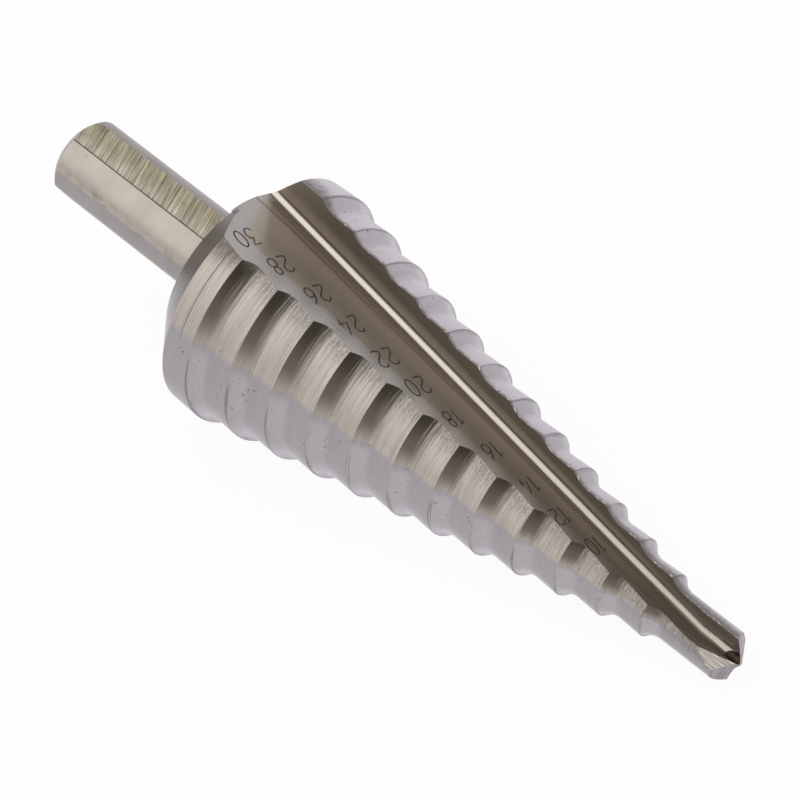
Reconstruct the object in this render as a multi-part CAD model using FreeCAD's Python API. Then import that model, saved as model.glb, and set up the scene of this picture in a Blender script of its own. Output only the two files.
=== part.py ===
import FreeCAD, Part
import math
import os

# A stepped cone drill of high-speed steel, ground from one bar: a round shank with three flats,
# a cone of thirteen steps and two straight flutes. All lengths are in millimetres, angles in degrees.
# The drill is built upright, with its axis on Z, the front edge of the largest step at z = 0 and the
# point upward. The first cutting edge lies on the XZ plane and the drill cuts towards +Y there.
# Last, it is laid down on its second flute, as it comes to rest on a table.

# Stepped cone
STEP_COUNT = 13
LARGEST_DIAMETER = 30.0
DIAMETER_STEP = 2.0
STEP_PITCH = 5.15
STEP_BACK_TAPER = 0.13
SHOULDER_SLOPE = 45.0
SHOULDER_FILLET = 2.2
LARGEST_BAND_LENGTH = 3.6
BACK_CHAMFER_LENGTH = 4.2
BACK_CHAMFER_DEPTH = 4.6
PILOT_LENGTH = 10.04

# Radial relief: each land is turned about its own centre line, so that it falls away behind its edge
HEEL_RELIEF = 0.30
RELIEF_LEAD = 30.0

# Flutes: at the point the cutting face and the heel wall pass the axis at these distances
FLUTE_RAKE = 21.8
FLUTE_ANGLE = 64.8
FLUTE_MOUTH = 48.3
FLUTE_ROOT_RADIUS = 0.8
POINT_FACE_OFFSET = 0.45
POINT_WALL_OFFSET = 0.35
FLUTE_LEVEL_LENGTH = 4.69

# Point: two lips with relieved flanks, a steep facet on each heel and a rounded gash beside each lip
POINT_ANGLE = 152.0
LIP_RELIEF = 31.5
HEEL_ANGLE = 100.0
HEEL_DROP = 3.78
HEEL_FACET_TURN = 124.0
HEEL_FACET_SLOPE = 67.5
GASH_RADIUS = 0.55
GASH_TURN = 55.0
GASH_TILT = 15.0
GASH_SIDE_OFFSET = 0.36
CHISEL_GAP = 0.24

# Shank
SHANK_DIAMETER = 10.0
SHANK_LENGTH = 24.25
SHANK_END_ROUND = 0.8
FLAT_COUNT = 3
FLAT_DEPTH = 0.41
FLAT_START_ANGLE = 22.3
NECK_LENGTH = 2.6

# Room that the cutting shapes have beyond the steel that they cut
CLEAR = 1.0

# What the sizes above give
LARGEST_RADIUS = LARGEST_DIAMETER / 2.0
RADIUS_STEP = DIAMETER_STEP / 2.0
PILOT_RADIUS = LARGEST_RADIUS - RADIUS_STEP * (STEP_COUNT - 1)
LAST_EDGE_Z = STEP_PITCH * (STEP_COUNT - 2)
LIP_CORNER_Z = LAST_EDGE_Z + PILOT_LENGTH
POINT_SLOPE = 1.0 / math.tan(math.radians(POINT_ANGLE / 2.0))
APEX_Z = LIP_CORNER_Z + PILOT_RADIUS * POINT_SLOPE
BACK_FACE_Z = -LARGEST_BAND_LENGTH - BACK_CHAMFER_LENGTH
SHANK_END_Z = BACK_FACE_Z - SHANK_LENGTH
POINT_REACH = 4.0 * PILOT_RADIUS
LAND_ANGLE = 180.0 - FLUTE_MOUTH
AXIS_Z = FreeCAD.Vector(0, 0, 1)
ORIGIN = FreeCAD.Vector(0, 0, 0)


def polar(radius, angle, z=0.0):
    """Return the point at a radius and an angle about the drill's axis."""
    turn = math.radians(angle)
    return FreeCAD.Vector(radius * math.cos(turn), radius * math.sin(turn), z)


def turned(shape, angle):
    """Return a copy of a shape, turned about the drill's axis."""
    copy = shape.copy()
    copy.rotate(ORIGIN, AXIS_Z, angle)
    return copy


def half_space(point, normal, size):
    """Return a large block that fills the side of a plane that its normal points to."""
    block = Part.makeBox(2.0 * size, 2.0 * size, size, FreeCAD.Vector(-size, -size, 0))
    block.Placement = FreeCAD.Placement(point, FreeCAD.Rotation(AXIS_Z, normal))
    return block


def shoulder_edges(edge_z, edge_radius, base_radius):
    """Return the edges from a step's front edge down its sloping shoulder and hollow to the next step.

    The hollow is an arc that is tangent to the shoulder and to the next step's land. It takes at most
    nine tenths of the shoulder's drop, so that the front edge stays.
    """
    drop = edge_radius - base_radius
    slope = math.radians(SHOULDER_SLOPE)
    fillet = min(SHOULDER_FILLET, 0.9 * drop / (1.0 - math.cos(slope)))
    arc_end_z = edge_z + drop / math.tan(slope) + fillet * math.tan(slope / 2.0)
    centre_radius = base_radius + fillet
    arc_points = []
    for turn in (slope, slope / 2.0, 0.0):
        radius = centre_radius - fillet * math.cos(turn)
        arc_points.append(FreeCAD.Vector(radius, 0, arc_end_z - fillet * math.sin(turn)))
    arc_start, arc_middle, arc_end = arc_points
    edge = FreeCAD.Vector(edge_radius, 0, edge_z)
    edges = [
        Part.LineSegment(edge, arc_start).toShape(),
        Part.Arc(arc_start, arc_middle, arc_end).toShape(),
    ]
    return edges, arc_end


def cone_profile(radius_cut):
    """Return the half section of the stepped cone as a face, with every radius cut by the same amount."""
    largest = LARGEST_RADIUS - radius_cut
    back_band = largest - STEP_BACK_TAPER
    back_face = back_band - BACK_CHAMFER_DEPTH
    corner = FreeCAD.Vector(back_band, 0, -LARGEST_BAND_LENGTH)
    outline = [FreeCAD.Vector(0, 0, BACK_FACE_Z), FreeCAD.Vector(back_face, 0, BACK_FACE_Z), corner]
    edges = [Part.LineSegment(a, b).toShape() for a, b in zip(outline, outline[1:])]
    for step in range(STEP_COUNT - 1):
        edge_radius = largest - RADIUS_STEP * step
        edge_point = FreeCAD.Vector(edge_radius, 0, STEP_PITCH * step)
        edges.append(Part.LineSegment(corner, edge_point).toShape())
        is_last = step == STEP_COUNT - 2
        taper = 0.0 if is_last else STEP_BACK_TAPER
        base_radius = edge_radius - RADIUS_STEP - taper
        shoulder, corner = shoulder_edges(edge_point.z, edge_radius, base_radius)
        edges += shoulder
    top_z = APEX_Z + CLEAR
    closing = [corner, FreeCAD.Vector(corner.x, 0, top_z), FreeCAD.Vector(0, 0, top_z), outline[0]]
    edges += [Part.LineSegment(a, b).toShape() for a, b in zip(closing, closing[1:])]
    return Part.Face(Part.Wire(edges))


def relieved_half():
    """Return the half of the cone behind the first cutting edge, turned about its offset centre line.

    The seam of the turned blank lies in the half that is cut away.
    """
    lead = math.radians(RELIEF_LEAD)
    span = math.radians(RELIEF_LEAD + LAND_ANGLE)
    offset = HEEL_RELIEF / (math.cos(lead) - math.cos(span))
    flute_middle = FLUTE_MOUTH / 2.0
    blank = turned(cone_profile(offset * math.cos(lead)), flute_middle + 90.0).revolve(ORIGIN, AXIS_Z, 360)
    blank.translate(polar(offset, RELIEF_LEAD))
    keep = half_space(ORIGIN, polar(1.0, flute_middle - 90.0), 2.0 * (APEX_Z - BACK_FACE_Z))
    return blank.common(keep)


def line_crossing(point_a, angle_a, point_b, angle_b):
    """Return where two lines in the XY plane cross, each given by a point and an angle."""
    along_a = polar(1.0, angle_a)
    along_b = polar(1.0, angle_b)
    between = point_b - point_a
    cross = along_a.x * along_b.y - along_a.y * along_b.x
    distance = (between.x * along_b.y - between.y * along_b.x) / cross
    return point_a + along_a * distance


def point_root():
    """Return where the cutting face and the heel wall of the first flute would meet at the point."""
    face_point = polar(POINT_FACE_OFFSET, FLUTE_RAKE - 90.0)
    wall_point = polar(POINT_WALL_OFFSET, FLUTE_RAKE + FLUTE_ANGLE - 90.0)
    return line_crossing(face_point, FLUTE_RAKE, wall_point, FLUTE_RAKE + FLUTE_ANGLE)


def rounded_groove(base, run):
    """Return the V prism that one straight length of the flute takes out, with its root edge rounded."""
    face_far = base + polar(2.0 * LARGEST_DIAMETER, FLUTE_RAKE)
    heel_far = base + polar(2.0 * LARGEST_DIAMETER, FLUTE_RAKE + FLUTE_ANGLE)
    prism = Part.Face(Part.makePolygon([base, face_far, heel_far, base])).extrude(run)
    middle = base + run * 0.5
    root_edge = min(prism.Edges, key=lambda edge: (edge.CenterOfMass - middle).Length)
    return prism.makeFillet(FLUTE_ROOT_RADIUS, [root_edge])


def flute():
    """Return the first flute: a V groove that rises from the web to the back, and runs level at the point."""
    edge = polar(LARGEST_RADIUS, 0.0)
    heel = polar(LARGEST_RADIUS - HEEL_RELIEF, FLUTE_MOUTH)
    wide_root = line_crossing(edge, FLUTE_RAKE, heel, FLUTE_RAKE + FLUTE_ANGLE)
    narrow_root = point_root()
    level_z = LIP_CORNER_Z - FLUTE_LEVEL_LENGTH
    slope = (narrow_root - wide_root) * (1.0 / level_z)
    back_z = BACK_FACE_Z - CLEAR
    back_root = wide_root + slope * back_z
    rise = slope * (level_z - back_z) + FreeCAD.Vector(0, 0, level_z - back_z)
    rising = rounded_groove(back_root + AXIS_Z * back_z, rise)
    end_face = max(rising.Faces, key=lambda face: face.CenterOfMass.z)
    level = end_face.extrude(AXIS_Z * (APEX_Z + 2.0 * CLEAR - level_z))
    return rising, level


def primary_flank():
    """Return the block above the first land's primary flank, which falls away outward and behind the lip."""
    outward = polar(POINT_SLOPE, FLUTE_RAKE)
    behind = polar(math.tan(math.radians(LIP_RELIEF)), FLUTE_RAKE - 90.0)
    return half_space(AXIS_Z * APEX_Z, outward + behind + AXIS_Z, POINT_REACH)


def heel_facet():
    """Return the block above the steep facet that clears the heel of the first land."""
    heel = polar(PILOT_RADIUS, -HEEL_ANGLE, LIP_CORNER_Z - HEEL_DROP)
    slope = math.radians(HEEL_FACET_SLOPE)
    normal = polar(math.sin(slope), -HEEL_FACET_TURN, math.cos(slope))
    above = half_space(heel, normal, POINT_REACH)
    flute_middle_turn = FLUTE_RAKE + FLUTE_ANGLE / 2.0
    own_land = half_space(point_root() * -1.0, polar(1.0, flute_middle_turn - 90.0), 2.0 * APEX_Z)
    return above.common(own_land)


def gash():
    """Return the rounded gash that thins the web ahead of the first lip, without reaching the axis."""
    tilt = math.radians(GASH_TILT)
    direction = polar(math.sin(tilt), GASH_TURN, -math.cos(tilt))
    centre_distance = CHISEL_GAP / 2.0 + GASH_RADIUS / math.cos(tilt)
    centre = polar(centre_distance, GASH_TURN, APEX_Z) + polar(GASH_SIDE_OFFSET, GASH_TURN - 90.0)
    return Part.makeCylinder(GASH_RADIUS, 2.0 * POINT_REACH, centre - direction * POINT_REACH, direction)


def shank():
    """Return the shank with its crowned end and its flats, which stop short of the cone.

    The crown is part of a ball about the axis. The seam of the turned blank lies between two flats.
    """
    radius = SHANK_DIAMETER / 2.0
    overlap_z = BACK_FACE_Z + 0.5 * BACK_CHAMFER_LENGTH
    crown_start = FreeCAD.Vector(radius - SHANK_END_ROUND, 0, SHANK_END_Z)
    crown_end = FreeCAD.Vector(radius, 0, SHANK_END_Z + SHANK_END_ROUND)
    ball_centre = AXIS_Z * (SHANK_END_Z + radius)
    ball_radius = (crown_end - ball_centre).Length
    chord_middle = (crown_start + crown_end) * 0.5 - ball_centre
    crown_middle = ball_centre + chord_middle * (ball_radius / chord_middle.Length)
    top_corner = FreeCAD.Vector(radius, 0, overlap_z)
    outline = [crown_end, top_corner, AXIS_Z * overlap_z, AXIS_Z * SHANK_END_Z, crown_start]
    edges = [Part.LineSegment(a, b).toShape() for a, b in zip(outline, outline[1:])]
    edges.append(Part.Arc(crown_start, crown_middle, crown_end).toShape())
    seam_angle = FLAT_START_ANGLE + 180.0 / FLAT_COUNT
    solid = turned(Part.Face(Part.Wire(edges)), seam_angle).revolve(ORIGIN, AXIS_Z, 360)
    flat_length = SHANK_LENGTH - NECK_LENGTH
    for index in range(FLAT_COUNT):
        angle = FLAT_START_ANGLE + index * 360.0 / FLAT_COUNT
        solid = solid.cut(flat_cutter(radius - FLAT_DEPTH, flat_length, angle))
    return solid


def flat_cutter(distance, length, angle):
    """Return the block that grinds one flat, with a 45 degree run-out towards the cone."""
    end_z = SHANK_END_Z + length
    far = SHANK_DIAMETER
    side = [
        FreeCAD.Vector(distance, -far, SHANK_END_Z - CLEAR),
        FreeCAD.Vector(far, -far, SHANK_END_Z - CLEAR),
        FreeCAD.Vector(far, -far, end_z + far - distance),
        FreeCAD.Vector(distance, -far, end_z),
        FreeCAD.Vector(distance, -far, SHANK_END_Z - CLEAR),
    ]
    block = Part.Face(Part.makePolygon(side)).extrude(FreeCAD.Vector(0, 2.0 * far, 0))
    return turned(block, angle)


def drill():
    """Return the whole drill as one solid, upright about the Z axis."""
    half = relieved_half()
    body = half.fuse(turned(half, 180.0))
    cutters = list(flute()) + [primary_flank(), heel_facet(), gash()]
    for cutter in cutters:
        body = body.cut(cutter).cut(turned(cutter, 180.0))
    return body.fuse(shank()).removeSplitter()


def mouth_corner(points, angle):
    """Return the corner of the largest step's front edge that lies nearest to an angle."""
    target = polar(LARGEST_RADIUS, angle)
    return min(points, key=lambda point: (point - target).Length)


def resting_plane(points):
    """Return the plane that the drill rests on: two corners of the second flute's mouth and the point.

    The plane turns about the line through the two corners until it meets the first corner of the point.
    """
    edge_corner = mouth_corner(points, 180.0)
    heel_corner = mouth_corner(points, 180.0 + FLUTE_MOUTH)
    hinge = (heel_corner - edge_corner).normalize()
    outward = (edge_corner + heel_corner) * 0.5
    outward = (outward - hinge * outward.dot(hinge)).normalize()
    best_normal = None
    best_angle = None
    for point in points:
        if point.z < LAST_EDGE_Z:
            continue
        arm = point - edge_corner
        arm = arm - hinge * arm.dot(hinge)
        inward = -arm.dot(outward)
        angle = math.atan2(inward, arm.z)
        if best_angle is None or angle < best_angle:
            best_angle = angle
            best_normal = hinge.cross(arm).normalize()
    if best_normal.dot(outward) > 0:
        best_normal = best_normal * -1.0
    return edge_corner, best_normal


def laid_down(upright):
    """Return the drill as it lies on a table, point towards +X, with the origin under its middle."""
    points = [vertex.Point for vertex in upright.Vertexes]
    corner, up = resting_plane(points)
    forward = (AXIS_Z - up * AXIS_Z.dot(up)).normalize()
    side = up.cross(forward)
    matrix = FreeCAD.Matrix(
        forward.x, forward.y, forward.z, 0,
        side.x, side.y, side.z, 0,
        up.x, up.y, up.z, 0,
        0, 0, 0, 1,
    )
    lying = upright.copy()
    lying.Placement = FreeCAD.Placement(matrix).multiply(lying.Placement)
    box = lying.optimalBoundingBox(False)
    table_z = matrix.multVec(corner).z
    lying.translate(FreeCAD.Vector(-box.Center.x, -box.Center.y, -table_z))
    return lying


def main():
    """Build the drill, lay it down and write its STEP file."""
    os.makedirs("parts", exist_ok=True)
    solid = laid_down(drill()).Solids[0]
    solid.exportStep("parts/step_drill.step")
    box = solid.optimalBoundingBox(False)
    print("step_drill", "valid", solid.isValid(), "volume", round(solid.Volume, 1), "faces", len(solid.Faces))
    print("box", [round(v, 3) for v in (box.XMin, box.YMin, box.ZMin, box.XMax, box.YMax, box.ZMax)])


main()
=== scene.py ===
"""Looks of a stepped cone drill that lies on a pale table: ground steel, laser-marked sizes, soft light.

Lengths on the drill are in millimetres in the drill's own frame: Z along the axis towards the point, z = 0
at the front edge of the largest step, the first cutting edge at azimuth 0. `DrillPose` takes them to the
row frame in metres.
"""

import logging
import math
from dataclasses import dataclass
from enum import Enum

import bpy
import numpy as np
from mathutils import Matrix

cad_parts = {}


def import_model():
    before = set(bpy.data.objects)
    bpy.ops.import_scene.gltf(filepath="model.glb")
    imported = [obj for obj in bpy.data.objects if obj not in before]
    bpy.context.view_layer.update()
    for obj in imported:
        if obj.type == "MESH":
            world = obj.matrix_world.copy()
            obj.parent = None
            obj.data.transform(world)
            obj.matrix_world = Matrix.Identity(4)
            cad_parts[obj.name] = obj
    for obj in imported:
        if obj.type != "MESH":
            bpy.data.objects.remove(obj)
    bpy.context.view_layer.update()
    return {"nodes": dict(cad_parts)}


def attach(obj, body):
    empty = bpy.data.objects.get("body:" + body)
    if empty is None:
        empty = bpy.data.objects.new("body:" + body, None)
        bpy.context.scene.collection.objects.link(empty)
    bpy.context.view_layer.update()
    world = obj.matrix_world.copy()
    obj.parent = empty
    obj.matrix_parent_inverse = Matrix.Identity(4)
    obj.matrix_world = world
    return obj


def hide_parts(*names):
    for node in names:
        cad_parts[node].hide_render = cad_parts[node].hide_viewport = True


LOG = logging.getLogger("scene")
METRES = 0.001
SURFACE_MAP = "surface"
EDGE_MAP = "edges"
SIDE_MAP = "side"
HALF_APART = 7.3


def linear(red, green, blue):
    """Return an sRGB colour, given from 0 to 255, as linear RGBA.

    Args:
        red, green, blue: The channels from 0 to 255.

    Returns:
        The tuple of four linear values.
    """
    channels = []
    for value in (red, green, blue):
        share = value / 255.0
        channels.append(share / 12.92 if share <= 0.04045 else ((share + 0.055) / 1.055) ** 2.4)
    return (channels[0], channels[1], channels[2], 1.0)


def polar(radius, angle):
    """Return the x and y of a radius in millimetres at an azimuth in degrees."""
    turn = math.radians(angle)
    return np.array([radius * math.cos(turn), radius * math.sin(turn)])


class Region(Enum):
    """The ground surfaces of the drill, in the order of their material slots."""

    LAND = 0
    REAR = 1
    NUMBER_WALL = 2
    CUTTING_FACE = 3
    ROOT = 4
    SHANK = 5
    FLAT = 6
    FLANK = 7
    HEEL_FACET = 8
    GASH = 9
    SHANK_END = 10


@dataclass(frozen=True)
class DrillPose:
    """How the drill lies on the table.

    Attributes:
        dip: How far the point dips below the level, in degrees.
        up_azimuth: The azimuth about the axis that faces up.
        front_centre: Where the centre of the largest step's front edge lies, in millimetres.
    """

    dip: float = 9.0669
    up_azimuth: float = 25.4404
    front_centre: tuple = (-17.1590, 0.0, 13.3761)

    def rotation(self) -> np.ndarray:
        """Return the matrix that takes drill directions to the row frame, one drill axis to a column."""
        dip = math.radians(self.dip)
        axis = np.array([math.cos(dip), 0.0, -math.sin(dip)])
        top = np.array([math.sin(dip), 0.0, math.cos(dip)])
        side = np.array([0.0, -1.0, 0.0])
        columns = []
        for azimuth in (0.0, 90.0):
            turn = math.radians(azimuth - self.up_azimuth)
            columns.append(math.cos(turn) * top + math.sin(turn) * side)
        return np.stack([columns[0], columns[1], axis], axis=1)

    def to_row(self, points: np.ndarray) -> np.ndarray:
        """Return drill points in millimetres as row frame points in metres."""
        return (points @ self.rotation().T + np.array(self.front_centre)) * METRES

    def to_drill(self, points: np.ndarray) -> np.ndarray:
        """Return row frame points in metres as drill points in millimetres."""
        return (points / METRES - np.array(self.front_centre)) @ self.rotation()


@dataclass(frozen=True)
class DrillForm:
    """The driving sizes of the ground form, in millimetres and degrees, as the solid has them."""

    step_count: int = 13
    largest_radius: float = 15.0
    radius_step: float = 1.0
    step_pitch: float = 5.15
    band_back: float = -3.6
    back_face: float = -7.8
    pilot_length: float = 10.04
    shank_radius: float = 5.0
    shank_length: float = 24.25
    shank_end_round: float = 0.8
    flat_depth: float = 0.41
    flat_start: float = 22.3
    flat_count: int = 3
    flute_mouth: float = 48.3
    heel_relief: float = 0.30
    rake: float = 21.8
    flute_angle: float = 64.8
    root_radius: float = 0.8
    point_face_offset: float = 0.45
    point_wall_offset: float = 0.35
    level_length: float = 4.69
    point_angle: float = 152.0
    lip_relief: float = 31.5
    heel_facet_turn: float = 124.0
    heel_facet_slope: float = 67.5
    gash_radius: float = 0.55
    gash_turn: float = 55.0
    gash_tilt: float = 15.0
    gash_side_offset: float = 0.36
    chisel_gap: float = 0.24

    @property
    def shank_end(self) -> float:
        """The height of the shank's end."""
        return self.back_face - self.shank_length

    @property
    def wall_angle(self) -> float:
        """The azimuth along the number wall, from the root outward."""
        return self.rake + self.flute_angle

    @property
    def last_edge(self) -> float:
        """The height of the last step's front edge."""
        return self.step_pitch * (self.step_count - 2)

    @property
    def lip_corner(self) -> float:
        """The height of the lip's outer corner."""
        return self.last_edge + self.pilot_length

    @property
    def level_start(self) -> float:
        """The height from which the flute runs level."""
        return self.lip_corner - self.level_length

    @property
    def pilot_radius(self) -> float:
        """The radius of the smallest step."""
        return self.largest_radius - self.radius_step * (self.step_count - 1)

    @property
    def point_slope(self) -> float:
        """The fall of the lip per millimetre outward."""
        return 1.0 / math.tan(math.radians(self.point_angle / 2.0))

    @property
    def apex(self) -> float:
        """The height of the apex."""
        return self.lip_corner + self.pilot_radius * self.point_slope

    def crossing(self, first, first_angle, second, second_angle) -> np.ndarray:
        """Return where two lines cross, each given by a point and an azimuth."""
        along = np.stack([polar(1.0, first_angle), -polar(1.0, second_angle)], axis=1)
        shares = np.linalg.solve(along, second - first)
        return first + shares[0] * polar(1.0, first_angle)

    def wide_root(self) -> np.ndarray:
        """Return where the flute's two sides meet at z = 0."""
        edge = polar(self.largest_radius, 0.0)
        heel = polar(self.largest_radius - self.heel_relief, self.flute_mouth)
        return self.crossing(edge, self.rake, heel, self.wall_angle)

    def narrow_root(self) -> np.ndarray:
        """Return where the flute's two sides meet at the point."""
        face = polar(self.point_face_offset, self.rake - 90.0)
        wall = polar(self.point_wall_offset, self.wall_angle - 90.0)
        return self.crossing(face, self.rake, wall, self.wall_angle)

    def root_slope(self) -> np.ndarray:
        """Return how far the root moves across per millimetre of height."""
        return (self.narrow_root() - self.wide_root()) / self.level_start

    def root_at(self, height: np.ndarray) -> np.ndarray:
        """Return the root's x and y at heights, straight up to where the flute runs level."""
        risen = np.minimum(height, self.level_start)
        return self.wide_root() + risen[..., None] * self.root_slope()

    def off_gash(self, points: np.ndarray) -> np.ndarray:
        """Return how far points lie from the round surface of the first lip's gash."""
        tilt = math.radians(self.gash_tilt)
        along = np.append(polar(math.sin(tilt), self.gash_turn), -math.cos(tilt))
        distance = self.chisel_gap / 2.0 + self.gash_radius / math.cos(tilt)
        middle = polar(distance, self.gash_turn) + polar(self.gash_side_offset, self.gash_turn - 90.0)
        arm = points - np.append(middle, self.apex)
        return np.abs(np.linalg.norm(np.cross(arm, along), axis=-1) - self.gash_radius)

    def wall_points(self, reach: np.ndarray, height: np.ndarray, proud: float) -> np.ndarray:
        """Return points on the number wall: root(z) + reach * outward + proud * normal, at height z.

        Args:
            reach: Distances from the root along the wall.
            height: Heights along the axis.
            proud: How far the points stand off the wall.

        Returns:
            The points as rows of x, y, z.
        """
        outward = polar(1.0, self.wall_angle)
        normal = polar(1.0, self.wall_angle - 90.0)
        across = self.root_at(height) + reach[..., None] * outward + proud * normal
        return np.concatenate([across, height[..., None]], axis=-1)


def feed(target, value) -> None:
    """Set a socket to a number or a colour, or join it to a value's socket."""
    if isinstance(value, Value):
        target.id_data.links.new(value.socket, target)
    else:
        target.default_value = value


class Value:
    """A number or colour that changes over the surface: a node's output, for use in sums and products."""

    def __init__(self, socket):
        """Hold the output socket."""
        self.socket = socket

    def __add__(self, other) -> "Value":
        """Return the sum."""
        return self.math("ADD", other)

    def __sub__(self, other) -> "Value":
        """Return the difference."""
        return self.math("SUBTRACT", other)

    def __mul__(self, other) -> "Value":
        """Return the product."""
        return self.math("MULTIPLY", other)

    def __truediv__(self, other) -> "Value":
        """Return the quotient."""
        return self.math("DIVIDE", other)

    def __abs__(self) -> "Value":
        """Return the distance from 0."""
        return self.math("ABSOLUTE")

    def math(self, operation: str, *others) -> "Value":
        """Return the result of a Math node on this number and others.

        Args:
            operation: The node's operation.
            others: Numbers or values.

        Returns:
            The result.
        """
        node = self.socket.id_data.nodes.new("ShaderNodeMath")
        node.operation = operation
        for target, value in zip(node.inputs, (self, *others)):
            feed(target, value)
        return Value(node.outputs[0])

    def step(self, low: float, high: float, below: float = 0.0, above: float = 1.0) -> "Value":
        """Return a smooth change from `below` to `above` while this number runs from low to high."""
        node = self.socket.id_data.nodes.new("ShaderNodeMapRange")
        node.interpolation_type = "SMOOTHSTEP"
        rising = low < high
        feed(node.inputs["Value"], self)
        node.inputs["From Min"].default_value = low if rising else high
        node.inputs["From Max"].default_value = high if rising else low
        node.inputs["To Min"].default_value = below if rising else above
        node.inputs["To Max"].default_value = above if rising else below
        return Value(node.outputs["Result"])

    def blend(self, first, second) -> "Value":
        """Return the first colour where this number is 0 and the second where it is 1."""
        node = self.socket.id_data.nodes.new("ShaderNodeMix")
        node.data_type = "RGBA"
        feed(node.inputs["Factor"], self)
        feed(node.inputs[6], first)
        feed(node.inputs[7], second)
        return Value(node.outputs[2])


class Graph:
    """A short way to write a material's node tree."""

    def __init__(self, name: str):
        """Make a material with an empty tree that ends in one Principled shader.

        Args:
            name: The material's name.
        """
        self.material = bpy.data.materials.new(name)
        self.material.use_nodes = True
        self.tree = self.material.node_tree
        self.tree.nodes.clear()
        output = self.tree.nodes.new("ShaderNodeOutputMaterial")
        self.shader = self.tree.nodes.new("ShaderNodeBsdfPrincipled")
        feed(output.inputs["Surface"], Value(self.shader.outputs["BSDF"]))

    def surface(self, name: str = SURFACE_MAP) -> tuple:
        """Return the two coordinates of a map on the surface."""
        uv = self.tree.nodes.new("ShaderNodeUVMap")
        uv.uv_map = name
        split = self.tree.nodes.new("ShaderNodeSeparateXYZ")
        feed(split.inputs["Vector"], Value(uv.outputs["UV"]))
        return Value(split.outputs["X"]), Value(split.outputs["Y"])

    def place(self, across: Value, along: Value, across_scale: float, along_scale: float,
              shift: float) -> Value:
        """Return where a texture is read: scaled surface coordinates, set apart on the drill's two halves."""
        side = self.tree.nodes.new("ShaderNodeAttribute")
        side.attribute_name = SIDE_MAP
        depth = Value(side.outputs["Fac"]) * HALF_APART + shift
        node = self.tree.nodes.new("ShaderNodeCombineXYZ")
        for target, value in zip(node.inputs, (across * across_scale, along * along_scale, depth)):
            feed(target, value)
        return Value(node.outputs["Vector"])

    def grain(self, across: Value, along: Value, across_scale: float, along_scale: float,
              detail: float = 3.0, shift: float = 0.0) -> Value:
        """Return noise from 0 to 1 that is stretched along a surface.

        Args:
            across, along: The two surface coordinates.
            across_scale, along_scale: Waves per unit of each.
            detail: Octaves of finer noise.
            shift: Sets this noise apart from others on the surface.

        Returns:
            The noise.
        """
        node = self.tree.nodes.new("ShaderNodeTexNoise")
        node.inputs["Scale"].default_value = 1.0
        node.inputs["Detail"].default_value = detail
        feed(node.inputs["Vector"], self.place(across, along, across_scale, along_scale, shift))
        return Value(node.outputs["Fac"])

    def specks(self, across: Value, along: Value, across_scale: float, along_scale: float,
               size: float, share: float) -> Value:
        """Return a mask of scattered spots: cells whose random value is high enough, near their centres.

        Args:
            across, along: The two surface coordinates.
            across_scale, along_scale: Cells per unit of each.
            size: The spot's radius as a share of a cell.
            share: The share of cells with a spot.

        Returns:
            The mask.
        """
        node = self.tree.nodes.new("ShaderNodeTexVoronoi")
        node.inputs["Scale"].default_value = 1.0
        feed(node.inputs["Vector"], self.place(across, along, across_scale, along_scale, 0.0))
        split = self.tree.nodes.new("ShaderNodeSeparateColor")
        feed(split.inputs["Color"], Value(node.outputs["Color"]))
        chosen = Value(split.outputs["Red"]).step(1.0 - share, 1.01 - share)
        return Value(node.outputs["Distance"]).step(size, 0.5 * size) * chosen

    def shade(self, colour, amount: Value) -> Value:
        """Return a colour times a brightness."""
        node = self.tree.nodes.new("ShaderNodeVectorMath")
        node.operation = "SCALE"
        feed(node.inputs[0], colour if isinstance(colour, Value) else colour[:3])
        feed(node.inputs["Scale"], amount)
        return Value(node.outputs["Vector"])

    def bump(self, height: Value, distance: float) -> None:
        """Raise the surface by a height mask, up to a distance in metres."""
        node = self.tree.nodes.new("ShaderNodeBump")
        node.inputs["Strength"].default_value = 1.0
        node.inputs["Distance"].default_value = distance
        feed(node.inputs["Height"], height)
        feed(self.shader.inputs["Normal"], Value(node.outputs["Normal"]))

    def finish(self, colour: Value, roughness, metallic: float):
        """Set the shader's colour, roughness and metal share, and return the material."""
        feed(self.shader.inputs["Base Color"], colour)
        feed(self.shader.inputs["Roughness"], roughness)
        self.shader.inputs["Metallic"].default_value = metallic
        return self.material


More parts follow.
